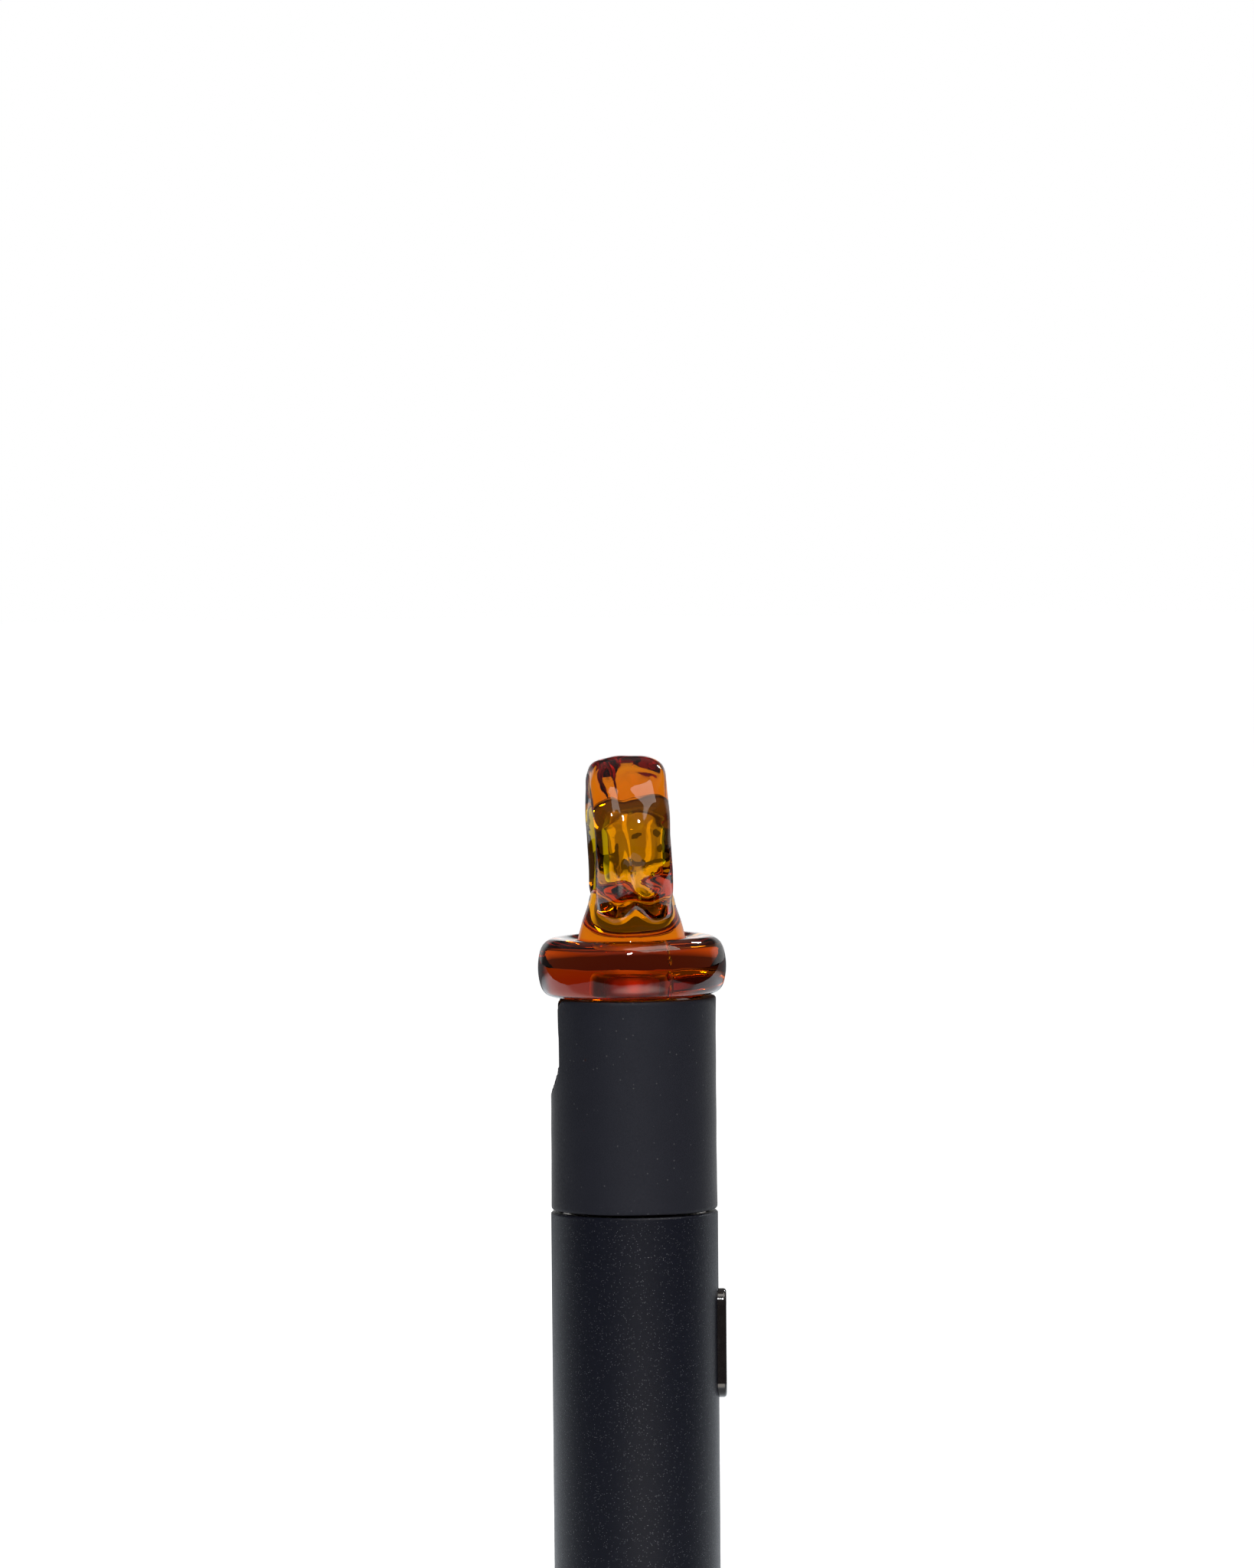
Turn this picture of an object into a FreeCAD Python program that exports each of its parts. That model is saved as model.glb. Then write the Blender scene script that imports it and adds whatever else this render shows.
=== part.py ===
import FreeCAD, Part
import math
import os

from FreeCAD import Rotation, Vector

# Handheld concentrate vaporiser: a battery body with a side button, a screw-in heating chamber,
# a soft mouthpiece sleeve with a U-shaped cut-out, and a loose cap of hand-worked amber glass.
# Millimetres. The origin is the centre of the underside and +Z runs up the body's axis.
# +X faces the button and -X faces the mouthpiece's cut-out.

# ---- driving dimensions: outside ----
BODY_R = 11.5
BODY_WALL = 1.2
BODY_H = 85.0
SEAM = 0.35
SLEEVE_R = 11.45
SLEEVE_WALL = 1.85
SLEEVE_H = 29.3
CUTOUT_HALF = 4.95
CUTOUT_TOP_HALF = 4.6
CUTOUT_DEPTH = 13.2
CUTOUT_BEVEL = 1.3
BUTTON_LENGTH = 15.15
BUTTON_WIDTH = 4.2
BUTTON_PROUD = 1.05
BUTTON_Z = 66.6
BUTTON_TRAVEL = 0.3
BASE_FLANGE = 2.4

# ---- driving dimensions: glass cap ----
DISC_R = 13.05
DISC_H = 8.1
DISC_TOP_CORNER = 2.4
DISC_LOW_CORNER = 1.9
DISC_BARREL = 9.0
DISC_WIDEST = 3.9
DISC_DISH = 0.7
DISC_DISH_R = 7.6
LOOP_TALL = 25.6
LOOP_DEEP = 22.4
LOOP_WIDE = 10.6
LOOP_HOLE_TALL = 10.6
LOOP_HOLE_DEEP = 8.6
LOOP_ROUND = 3.1
LOOP_YAW = 4.6
LOOP_LEAN = 2.5
LOOP_SHIFT = 0.35
LOOP_SINK = 0.6
ROOT_R = 7.4
ROOT_TOP_R = 5.3
ROOT_H = 5.7
ROOT_ROUND = 1.6
STEM_R = 4.8
STEM_BORE_R = 3.95
STEM_LENGTH = 6.3
STEM_FLOOR = 1.6
STEM_CORNER = 1.0
BORE_TOP = 3.3
BORE_CORNER = 0.5
JET_R = 1.0
JET_ANGLE = 30.0
JET_OFF = 1.2
INLET_R = 0.9
INLET_Z = 2.4
INLET_TURN = 50.0

# ---- driving dimensions: heating chamber ----
THREAD_R = 3.45
THREAD_LENGTH = 4.85
CHAMBER_R = 8.5
CHAMBER_WALL = 0.8
BOWL_R = 5.4
BOWL_WALL = 1.0
BOWL_DEPTH = 10.2
HEATER_WALL = 0.8

# ---- driving dimensions: bought-in parts ----
CELL_R = 9.15
CELL_H = 35.0
USB_WIDTH = 8.94
USB_HEIGHT = 3.26
USB_LENGTH = 7.0
BOARD = 1.0
SCREW_R = 0.75
SCREW_HEAD_R = 1.45

# ---- fits ----
RUN = 0.05
SLIP = 0.1
EDGE = 0.2

# ---- places worked out from the dimensions above ----
TUBE_IN = BODY_R - BODY_WALL
CORE_R = TUBE_IN - SLIP
SLEEVE_BOTTOM = BODY_H + SEAM
SLEEVE_TOP = SLEEVE_BOTTOM + SLEEVE_H
SLEEVE_IN = SLEEVE_R - SLEEVE_WALL
DISC_BOTTOM = SLEEVE_TOP + RUN
DISC_TOP = DISC_BOTTOM + DISC_H
CHAMBER_FLOOR = BODY_H + RUN
RING_TOP = SLEEVE_TOP - 0.6
BOWL_TOP = RING_TOP - 3.6
BOWL_FLOOR = BOWL_TOP - BOWL_DEPTH
STUD_TIP = CHAMBER_FLOOR - THREAD_LENGTH
USB_BOTTOM = 0.4
CHARGE_BOARD_Z = USB_BOTTOM + USB_LENGTH
CELL_Z = CHARGE_BOARD_Z + 2.2
MID_DECK_Z = CELL_Z + CELL_H + 0.8
MAIN_BOARD_X = 5.3
MAIN_BOARD_Z = MID_DECK_Z + 2.6
TOP_DECK_Z = 76.0
SCREW_Y = 8.1


# ---- shared shapes ----
def cylinder(radius, bottom, top, x=0.0, y=0.0):
    return Part.makeCylinder(radius, top - bottom, Vector(x, y, bottom))


def ring(outer, inner, bottom, top):
    return cylinder(outer, bottom, top).cut(cylinder(inner, bottom - 1, top + 1))


def block(x0, x1, y0, y1, z0, z1):
    return Part.makeBox(x1 - x0, y1 - y0, z1 - z0, Vector(x0, y0, z0))


def merged(first, *others):
    """One clean solid from pieces that touch or overlap."""
    return first.fuse(list(others)).removeSplitter()


def rounded(shape, radius, wanted):
    """The shape with a fillet on each edge that wanted(edge) picks."""
    edges = [edge for edge in shape.Edges if wanted(edge)]
    return shape.makeFillet(radius, edges)


def circle_at(z, radius):
    """Picks round edges at one height and radius, within a hundredth."""

    def wanted(edge):
        curve = edge.Curve
        if not isinstance(curve, Part.Circle):
            return False
        return abs(curve.Center.z - z) < 0.01 and abs(curve.Radius - radius) < 0.01

    return wanted


def lathe(outline):
    """A closed outline of (radius, z) points turned about Z.

    A point written (radius, z, via_radius, via_z) is reached by an arc.
    """
    places = [Vector(step[0], 0, step[1]) for step in outline]
    edges = []
    for number, step in enumerate(outline):
        start = places[number - 1]
        end = places[number]
        if len(step) == 4:
            edges.append(Part.Arc(start, Vector(step[2], 0, step[3]), end).toShape())
        else:
            edges.append(Part.makeLine(start, end))
    face = Part.Face(Part.Wire(edges))
    return face.revolve(Vector(0, 0, 0), Vector(0, 0, 1), 360)


def pill(length, width, x0, x1, middle):
    """A slot-shaped prism along X, its long side upright, centred at the height middle."""
    half = width / 2
    straight = length / 2 - half
    low_left = Vector(x0, -half, middle - straight)
    high_left = Vector(x0, -half, middle + straight)
    high_right = Vector(x0, half, middle + straight)
    low_right = Vector(x0, half, middle - straight)
    top = Vector(x0, 0, middle + length / 2)
    bottom = Vector(x0, 0, middle - length / 2)
    edges = [
        Part.makeLine(low_left, high_left),
        Part.Arc(high_left, top, high_right).toShape(),
        Part.makeLine(high_right, low_right),
        Part.Arc(low_right, bottom, low_left).toShape(),
    ]
    return Part.Face(Part.Wire(edges)).extrude(Vector(x1 - x0, 0, 0))


def wire_lead(points, radius):
    """An insulated wire along straight runs joined by arcs as large as the runs allow."""
    edges = []
    start = points[0]
    for before, corner, after in zip(points, points[1:], points[2:]):
        back = (before - corner).normalize()
        ahead = (after - corner).normalize()
        reach = 0.45 * min((before - corner).Length, (after - corner).Length)
        enter = corner + back * reach
        leave = corner + ahead * reach
        half_turn = back.getAngle(ahead) / 2
        centre = corner + (back + ahead).normalize() * (reach / math.cos(half_turn))
        middle = centre + (corner - centre).normalize() * (reach * math.tan(half_turn))
        edges.append(Part.makeLine(start, enter))
        edges.append(Part.Arc(enter, middle, leave).toShape())
        start = leave
    edges.append(Part.makeLine(start, points[-1]))
    path = Part.Wire(edges)
    heading = points[1] - points[0]
    section = Part.Wire([Part.Circle(points[0], heading, radius).toShape()])
    return path.makePipeShell([section], True, True)


# ---- battery body ----
def body_tube():
    tube = ring(BODY_R, TUBE_IN, BASE_FLANGE + SLIP, BODY_H)
    at_top = circle_at(BODY_H, BODY_R)
    tube = tube.makeChamfer(EDGE, [edge for edge in tube.Edges if at_top(edge)])
    slot = pill(BUTTON_LENGTH + 2 * SLIP, BUTTON_WIDTH + 2 * SLIP, TUBE_IN - 3, BODY_R + 1, BUTTON_Z)
    return tube.cut(slot)


def base_cap():
    flange = cylinder(BODY_R, 0, BASE_FLANGE)
    flange = rounded(flange, 0.5, circle_at(0, BODY_R))
    spigot = ring(CORE_R, 8.9, BASE_FLANGE, 5.0)
    groove = ring(TUBE_IN + 1, 9.75, 3.2, 4.1)
    cap = merged(flange, spigot).cut(groove)
    mouth = usb_slug(USB_WIDTH + 0.5, USB_HEIGHT + 0.5, -1, BASE_FLANGE + 1)
    cap = cap.cut(mouth)
    for y in (-SCREW_Y, SCREW_Y):
        cap = cap.cut(cylinder(SCREW_R + SLIP, -1, BASE_FLANGE + 1, 0, y))
        cap = cap.cut(cylinder(SCREW_HEAD_R + SLIP, -1, 1.3, 0, y))
    return cap


def base_gasket():
    return ring(TUBE_IN - 0.02, 9.8, 3.3, 4.0)


def base_screws():
    screws = []
    for y in (-SCREW_Y, SCREW_Y):
        head = cylinder(SCREW_HEAD_R, 0.35, 1.25, 0, y)
        recess = cylinder(0.6, 0, 0.85, 0, y).cut(cylinder(0.25, 0, 0.85, 0, y))
        shank = cylinder(SCREW_R, 1.25, 7.2, 0, y)
        screws.append(merged(head, shank).cut(recess))
    return Part.makeCompound(screws)


def usb_slug(width, height, bottom, top):
    """The rounded outline of the charging port, as a prism along Z."""
    half = height / 2
    middle = block(-width / 2 + half, width / 2 - half, -half, half, bottom, top)
    left = cylinder(half, bottom, top, -width / 2 + half)
    right = cylinder(half, bottom, top, width / 2 - half)
    return merged(middle, left, right)


def usb_socket():
    outer = usb_slug(USB_WIDTH, USB_HEIGHT, USB_BOTTOM, CHARGE_BOARD_Z)
    inner = usb_slug(USB_WIDTH - 0.6, USB_HEIGHT - 0.6, USB_BOTTOM - 1, CHARGE_BOARD_Z - 0.9)
    return outer.cut(inner)


def usb_tongue():
    return block(-3.3, 3.3, -0.35, 0.35, USB_BOTTOM + 0.9, CHARGE_BOARD_Z - 0.9)


def charge_board():
    board = cylinder(8.7, CHARGE_BOARD_Z, CHARGE_BOARD_Z + BOARD)
    for y in (-SCREW_Y, SCREW_Y):
        board = board.cut(cylinder(2.1, CHARGE_BOARD_Z - 1, CHARGE_BOARD_Z + 2, 0, y))
    return board


def charge_chip():
    return block(-1.6, 1.6, 2.6, 5.6, CHARGE_BOARD_Z - 0.9, CHARGE_BOARD_Z)


def chassis():
    wall = ring(CORE_R, CELL_R + 0.2, 5.2, TOP_DECK_Z)
    wall = wall.cut(block(-3.0, 20, -20, 20, 0, 100))
    bottom_deck = cylinder(CORE_R, CELL_Z - 1.0, CELL_Z - 0.3)
    bottom_deck = bottom_deck.cut(block(7.0, 12, -7.6, 7.6, 0, 100))
    mid_deck = cylinder(CORE_R, MID_DECK_Z, MID_DECK_Z + 1.2)
    mid_deck = mid_deck.cut(block(6.2, 12, -7.6, 7.6, 0, 100))
    mid_deck = mid_deck.cut(block(4.9, 6.2, -3.2, -0.3, 0, 100))
    top_deck = ring(CORE_R, 4.75, TOP_DECK_Z, TOP_DECK_Z + 1.4)
    top_deck = top_deck.cut(block(7.2, 12, -4, 4, 0, 100))
    frame = merged(wall, bottom_deck, mid_deck, top_deck)
    for side in (-1, 1):
        rail_in = side * 5.9
        rail_out = side * 7.0
        rail = block(4.2, 7.3, min(rail_in, rail_out), max(rail_in, rail_out), MID_DECK_Z, TOP_DECK_Z)
        slot_in = side * 5.0
        slot_out = side * 6.65
        slot = block(
            MAIN_BOARD_X - RUN, MAIN_BOARD_X + BOARD + RUN,
            min(slot_in, slot_out), max(slot_in, slot_out),
            MAIN_BOARD_Z - 0.1, TOP_DECK_Z - 0.4,
        )
        frame = merged(frame, rail.cut(slot))
        boss = cylinder(1.7, 5.2, CELL_Z - 1.0, 0, side * SCREW_Y)
        frame = merged(frame, boss)
    for y in (-SCREW_Y, SCREW_Y):
        frame = frame.cut(cylinder(SCREW_R + 0.02, 4, 7.6, 0, y))
    return frame


def battery_cell():
    can = cylinder(CELL_R, CELL_Z, CELL_Z + CELL_H - 0.6)
    can = rounded(can, 0.6, circle_at(CELL_Z + CELL_H - 0.6, CELL_R))
    return rounded(can, 0.6, circle_at(CELL_Z, CELL_R))


def cell_insulator():
    return ring(7.4, 3.4, CELL_Z + CELL_H - 0.6, CELL_Z + CELL_H - 0.35)


def cell_terminal():
    return cylinder(3.1, CELL_Z + CELL_H - 0.6, CELL_Z + CELL_H + 0.1)


def positive_tab():
    level = CELL_Z + CELL_H + 0.1
    flat = block(-2.5, MAIN_BOARD_X - 0.02, -2.9, -0.6, level, level + 0.15)
    riser = block(MAIN_BOARD_X - 0.17, MAIN_BOARD_X - 0.02, -2.9, -0.6, level, MAIN_BOARD_Z + 5)
    return merged(flat, riser)


def negative_tab():
    face = MAIN_BOARD_X + BOARD + 0.02
    side = CELL_R + 0.25
    turn = MID_DECK_Z + 1.6
    foot = block(2.0, side + 0.15, -1.6, 1.6, CELL_Z - 0.25, CELL_Z - 0.1)
    strap = block(side, side + 0.15, -1.6, 1.6, CELL_Z - 0.25, turn + 0.15)
    shelf = block(face, side + 0.15, -1.6, 1.6, turn, turn + 0.15)
    riser = block(face, face + 0.15, -1.6, 1.6, turn, MAIN_BOARD_Z + 4)
    return merged(foot, strap, shelf, riser)


def charge_flex():
    """A flat cable from the charging board, up the gap beside the cell, to the main board."""
    face = MAIN_BOARD_X + BOARD + 0.02
    reach = 9.3
    top = MAIN_BOARD_Z + 6
    low = CHARGE_BOARD_Z + BOARD + 0.02
    foot = block(4.5, reach + 0.12, 2.2, 3.6, low, low + 0.12)
    strip = block(reach, reach + 0.12, 2.2, 3.6, low, top)
    tail = block(face, reach + 0.12, 2.2, 3.6, top, top + 0.12)
    pad = block(face, face + 0.12, 2.2, 3.6, top - 1.5, top + 0.12)
    return merged(foot, strip, tail, pad)


def main_board():
    return block(MAIN_BOARD_X, MAIN_BOARD_X + BOARD, -6.55, 6.55, MAIN_BOARD_Z, TOP_DECK_Z - 0.5)


def board_chips():
    """Controller, power switch, coil and charger chip, on the side of the board away from the button."""
    back = MAIN_BOARD_X
    chips = [
        block(back - 0.85, back, -2.2, 2.2, 60.0, 64.4),
        block(back - 1.0, back, 0.6, 5.2, 54.0, 58.6),
        block(back - 2.0, back, -5.2, -1.2, 66.4, 70.4),
        block(back - 0.8, back, 1.2, 4.2, 66.6, 69.6),
    ]
    return Part.makeCompound(chips)


def status_led():
    face = MAIN_BOARD_X + BOARD
    return block(face, face + 0.65, -0.8, 0.8, BUTTON_Z + 5.2, BUTTON_Z + 6.0)


def switch_case():
    face = MAIN_BOARD_X + BOARD
    case = block(face, face + 1.9, -2.2, 2.2, BUTTON_Z - 3.0, BUTTON_Z + 3.0)
    bore = Part.makeCylinder(0.9, 1.0, Vector(face + 1.0, 0, BUTTON_Z), Vector(1, 0, 0))
    return case.cut(bore)


BUTTON_FLANGE_OUT = 9.8
BUTTON_FLANGE_IN = 9.2


def switch_plunger():
    start = MAIN_BOARD_X + BOARD + 1.0 + BUTTON_TRAVEL + RUN
    length = BUTTON_FLANGE_IN - start
    return Part.makeCylinder(0.85, length, Vector(start, 0, BUTTON_Z), Vector(1, 0, 0))


def button_cap():
    face = BODY_R + BUTTON_PROUD
    cap = pill(BUTTON_LENGTH, BUTTON_WIDTH, BUTTON_FLANGE_OUT, face, BUTTON_Z)
    cap = rounded(cap, 0.42, lambda edge: edge.BoundBox.XMin > face - 0.01)
    flange = pill(BUTTON_LENGTH + 1.2, BUTTON_WIDTH + 0.9, BUTTON_FLANGE_IN, BUTTON_FLANGE_OUT, BUTTON_Z)
    return merged(cap, flange)


def button_seal():
    outer = pill(BUTTON_LENGTH + 1.2, BUTTON_WIDTH + 1.2, 8.3, 8.85, BUTTON_Z)
    inner = pill(BUTTON_LENGTH - 1.4, BUTTON_WIDTH - 1.4, 8.0, 9.0, BUTTON_Z)
    return outer.cut(inner)


def button_frame():
    """Holds the seal against the body, and stands on the board beside the switch."""
    face = MAIN_BOARD_X + BOARD
    plate = pill(BUTTON_LENGTH + 1.8, 6.6, 7.5, 8.3, BUTTON_Z)
    plate = plate.cut(pill(BUTTON_LENGTH - 3.0, 2.4, 7.0, 9.0, BUTTON_Z))
    legs = []
    for end in (-1, 1):
        middle = BUTTON_Z + end * 6.4
        leg = block(face, 7.5, -2.9, -1.3, middle - 0.8, middle + 0.8)
        legs.append(leg)
        legs.append(leg.mirror(Vector(0, 0, 0), Vector(0, 1, 0)))
    plate = merged(plate, *legs)
    return plate.cut(block(face - 1, face + 2.0, -2.3, 2.3, BUTTON_Z - 3.1, BUTTON_Z + 3.1))


# ---- connector on top of the battery body ----
def connector_socket():
    outline = [
        (THREAD_R + RUN, 79.4),
        (3.05, 79.4),
        (3.05, 74.0),
        (4.6, 74.0),
        (4.6, TOP_DECK_Z + 1.4 + SLIP),
        (CORE_R, TOP_DECK_Z + 1.4 + SLIP),
        (CORE_R, BODY_H - 0.6),
        (CORE_R - 0.3, BODY_H - 0.3),
        (9.0, BODY_H - 0.3),
        (9.0, BODY_H - RUN),
        (4.8, BODY_H - RUN),
        (4.8, BODY_H - 0.95),
        (THREAD_R + RUN, BODY_H - 0.95),
    ]
    pocket = ring(8.6, 5.4, TOP_DECK_Z + 1, BODY_H - 2.2)
    return lathe(outline).cut(pocket)


PIN_SHOULDER = 77.3
PIN_FLANGE = 0.8
PIN_FLOOR = 73.0


def socket_insulator():
    outline = [
        (1.15, 79.2),
        (1.15, PIN_SHOULDER + RUN),
        (1.75, PIN_SHOULDER + RUN),
        (1.75, PIN_FLOOR),
        (0.6, PIN_FLOOR),
        (0.6, 72.2),
        (3.0, 72.2),
        (3.0, 79.2),
    ]
    return lathe(outline)


def contact_pin():
    top = STUD_TIP - 0.45
    tip = cylinder(1.1, PIN_SHOULDER, top)
    tip = rounded(tip, 0.3, circle_at(top, 1.1))
    return merged(tip, cylinder(1.6, PIN_SHOULDER - PIN_FLANGE, PIN_SHOULDER))


def pin_spring():
    """Five turns of round wire between the insulator's floor and the pin's shoulder, as tilted half turns."""
    wire_r = 0.16
    coil_r = 1.4
    half_turns = 10
    gap = 0.02
    low = PIN_FLOOR + wire_r + gap
    high = PIN_SHOULDER - PIN_FLANGE - wire_r - gap
    rise = (high - low) / half_turns
    pieces = []
    for number in range(half_turns):
        side = 1 - 2 * (number % 2)
        start = Vector(side * coil_r, 0, low + number * rise)
        centre = Vector(0, 0, start.z + rise / 2)
        axis = (start - centre).cross(Vector(0, side, 0))
        section = Part.Face(Part.Wire([Part.Circle(start, Vector(0, 1, 0), wire_r).toShape()]))
        pieces.append(section.revolve(centre, axis, 180))
    return merged(*pieces)


def heater_wires():
    """Two leads from the main board: one to the centre pin, one to the socket's rim."""
    back = MAIN_BOARD_X
    centre = wire_lead(
        [
            Vector(0, 0, 72.9),
            Vector(0, 0, 71.0),
            Vector(1.9, 1.6, 70.2),
            Vector(back - 2.0, 3.4, 71.6),
            Vector(back, 3.4, 71.6),
        ],
        0.45,
    )
    rim = wire_lead(
        [
            Vector(-3.8, 0, 74.0),
            Vector(-3.8, 0, 72.0),
            Vector(-2.6, -3.2, 71.2),
            Vector(back - 2.6, -4.4, 71.8),
            Vector(back, -4.4, 71.8),
        ],
        0.45,
    )
    return Part.makeCompound([centre, rim])


# ---- heating chamber ----
BASE_TOP = BODY_H + 6.0
SPIGOT_TOP = BASE_TOP + 2.0
BASE_R = 9.3
O_RING_R = 8.6
O_RING_LEVELS = (CHAMBER_FLOOR + 1.6, CHAMBER_FLOOR + 3.9)
CONTACT_FLANGE = 0.5
CONTACT_HEAD = 0.4
LEAD_PLACES = (1.4, -4.5)


def stud_seal():
    return ring(4.6, THREAD_R + RUN, BODY_H - 0.85, BODY_H - 0.02)


def chamber_base():
    outline = [
        (1.9, STUD_TIP),
        (THREAD_R, STUD_TIP),
        (THREAD_R, CHAMBER_FLOOR),
        (BASE_R - 0.3, CHAMBER_FLOOR),
        (BASE_R, CHAMBER_FLOOR + 0.3),
        (BASE_R, BASE_TOP),
        (CHAMBER_R - CHAMBER_WALL - RUN, BASE_TOP),
        (CHAMBER_R - CHAMBER_WALL - RUN, SPIGOT_TOP),
        (6.9, SPIGOT_TOP),
        (6.9, BASE_TOP),
        (1.9, BASE_TOP),
    ]
    base = lathe(outline)
    for level in O_RING_LEVELS:
        base = base.cut(ring(BASE_R + 1, O_RING_R, level - 0.6, level + 0.6))
    return base


def sleeve_o_rings():
    bead = (SLEEVE_IN - 0.03 - O_RING_R) / 2
    rings = []
    for level in O_RING_LEVELS:
        rings.append(Part.makeTorus(O_RING_R + bead, bead - 0.01, Vector(0, 0, level)))
    return Part.makeCompound(rings)


def contact_insulator():
    sleeve = ring(1.88, 1.22, STUD_TIP, BASE_TOP)
    flange = ring(2.6, 1.22, BASE_TOP, BASE_TOP + CONTACT_FLANGE)
    return merged(sleeve, flange)


def centre_contact():
    flange_top = BASE_TOP + CONTACT_FLANGE
    shaft = cylinder(1.2, STUD_TIP - 0.4, flange_top)
    head = cylinder(2.2, flange_top, flange_top + CONTACT_HEAD)
    return merged(shaft, head)


HEATER_FOOT = SPIGOT_TOP + 3.0
HEATER_SKIRT = 0.7


def heater_base():
    """The heat break: a disc between the chamber's base and the heater, with holes for the leads."""
    disc = cylinder(CHAMBER_R - CHAMBER_WALL - RUN, SPIGOT_TOP + 0.02, HEATER_FOOT)
    for x in LEAD_PLACES:
        disc = disc.cut(cylinder(0.5, SPIGOT_TOP - 1, HEATER_FOOT + 1, x))
    return disc


def heater_cup():
    outer = BOWL_R + BOWL_WALL + RUN + HEATER_WALL
    inner = outer - HEATER_WALL
    foot = BOWL_FLOOR - BOWL_WALL - RUN
    outline = [
        (0, HEATER_FOOT + HEATER_SKIRT),
        (outer, HEATER_FOOT + HEATER_SKIRT),
        (outer, BOWL_TOP - 1.4),
        (inner, BOWL_TOP - 1.4),
        (inner, foot),
        (0, foot),
    ]
    cup = lathe(outline)
    return merged(cup, ring(3.6, 2.4, HEATER_FOOT, HEATER_FOOT + HEATER_SKIRT))


def heater_leads():
    contact_top = BASE_TOP + CONTACT_FLANGE + CONTACT_HEAD
    cup_foot = HEATER_FOOT + HEATER_SKIRT
    inner = cylinder(0.38, contact_top, cup_foot, LEAD_PLACES[0])
    outer = cylinder(0.38, BASE_TOP, cup_foot, LEAD_PLACES[1])
    return Part.makeCompound([inner, outer])


def ceramic_bowl():
    outer = BOWL_R + BOWL_WALL
    outline = [
        (0, BOWL_FLOOR - BOWL_WALL),
        (outer - 0.8, BOWL_FLOOR - BOWL_WALL),
        (outer, BOWL_FLOOR - 0.2, outer - 0.23, BOWL_FLOOR - 0.77),
        (outer, BOWL_TOP),
        (BOWL_R, BOWL_TOP),
        (BOWL_R, BOWL_FLOOR + 1.2),
        (BOWL_R - 1.2, BOWL_FLOOR, BOWL_R - 0.35, BOWL_FLOOR + 0.35),
        (0, BOWL_FLOOR),
    ]
    return lathe(outline)


def chamber_shell():
    shell = ring(CHAMBER_R, CHAMBER_R - CHAMBER_WALL, BASE_TOP + 0.02, BOWL_TOP)
    for turn in range(6):
        hole = Part.makeCylinder(0.9, 4, Vector(CHAMBER_R - 3, 0, SPIGOT_TOP + 5.2), Vector(1, 0, 0))
        hole.rotate(Vector(0, 0, 0), Vector(0, 0, 1), 30 + 60 * turn)
        shell = shell.cut(hole)
    return shell


def chamber_gasket():
    return ring(7.5, BOWL_R + 0.1, BOWL_TOP + 0.02, BOWL_TOP + 0.5)


def chamber_ring():
    """Clamps the bowl, carries the cap's seat, and lets vapour out on the cut-out's side."""
    bore = BOWL_R + 0.1
    seat = 5.75
    outline = [
        (bore, BOWL_TOP + 0.52),
        (7.6, BOWL_TOP + 0.52),
        (7.6, BOWL_TOP + 0.02),
        (CHAMBER_R, BOWL_TOP + 0.02),
        (CHAMBER_R, RING_TOP - 0.5),
        (CHAMBER_R - 0.5, RING_TOP, CHAMBER_R - 0.15, RING_TOP - 0.15),
        (seat + 0.4, RING_TOP),
        (seat, RING_TOP - 0.4),
        (seat, RING_TOP - 1.9),
        (bore, RING_TOP - 1.9),
    ]
    body = lathe(outline)
    for angle in (150, 180, 210):
        port = block(4, 10, -1.1, 1.1, BOWL_TOP + 0.7, BOWL_TOP + 1.6)
        port.rotate(Vector(0, 0, 0), Vector(0, 0, 1), angle)
        body = body.cut(port)
    return body


# ---- mouthpiece sleeve ----
def cutout_slug():
    """The U-shaped cut-out, which narrows upwards to a bevelled mouth, as a prism towards -X."""
    mouth = CUTOUT_TOP_HALF + CUTOUT_BEVEL
    bottom = SLEEVE_TOP - CUTOUT_DEPTH
    half_u = [
        (CUTOUT_HALF, bottom + CUTOUT_HALF),
        (CUTOUT_TOP_HALF, SLEEVE_TOP - CUTOUT_BEVEL),
        (mouth, SLEEVE_TOP),
        (mouth, SLEEVE_TOP + 1),
    ]
    points = [Vector(0, y, z) for y, z in half_u]
    points += [Vector(0, -y, z) for y, z in reversed(half_u)]
    edges = [Part.makeLine(here, there) for here, there in zip(points, points[1:])]
    edges.append(Part.Arc(points[-1], Vector(0, 0, bottom), points[0]).toShape())
    return Part.Face(Part.Wire(edges)).extrude(Vector(-2 * SLEEVE_R, 0, 0))


def mouthpiece_sleeve():
    tube = ring(SLEEVE_R, SLEEVE_IN, SLEEVE_BOTTOM, SLEEVE_TOP)
    tube = rounded(tube, 0.45, circle_at(SLEEVE_BOTTOM, SLEEVE_R))
    tube = rounded(tube, 0.35, circle_at(SLEEVE_TOP, SLEEVE_R))
    tube = rounded(tube, 0.35, circle_at(SLEEVE_TOP, SLEEVE_IN))
    return tube.cut(cutout_slug())


# ---- glass cap ----
def cap_gasket():
    """A soft ring in the chamber's seat, with two grooves round its outside."""
    seat_low = RING_TOP - 1.6
    groove_r = 5.4
    lip_r = 5.65
    outline = [
        (STEM_R + RUN, seat_low),
        (groove_r, seat_low),
        (lip_r, RING_TOP - 1.2),
        (groove_r, RING_TOP - 0.8),
        (lip_r, RING_TOP - 0.4),
        (groove_r, RING_TOP),
        (groove_r, RING_TOP + 0.3),
        (STEM_R + RUN, RING_TOP + 0.3),
    ]
    return lathe(outline)


def corner_arc(middle, radius, start, end):
    """The end and the halfway point of an arc in an outline's plane, as an outline entry. Degrees."""
    points = []
    for turn in (end, (start + end) / 2):
        angle = math.radians(turn)
        points += [middle[0] + radius * math.cos(angle), middle[1] + radius * math.sin(angle)]
    return tuple(points)


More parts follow.
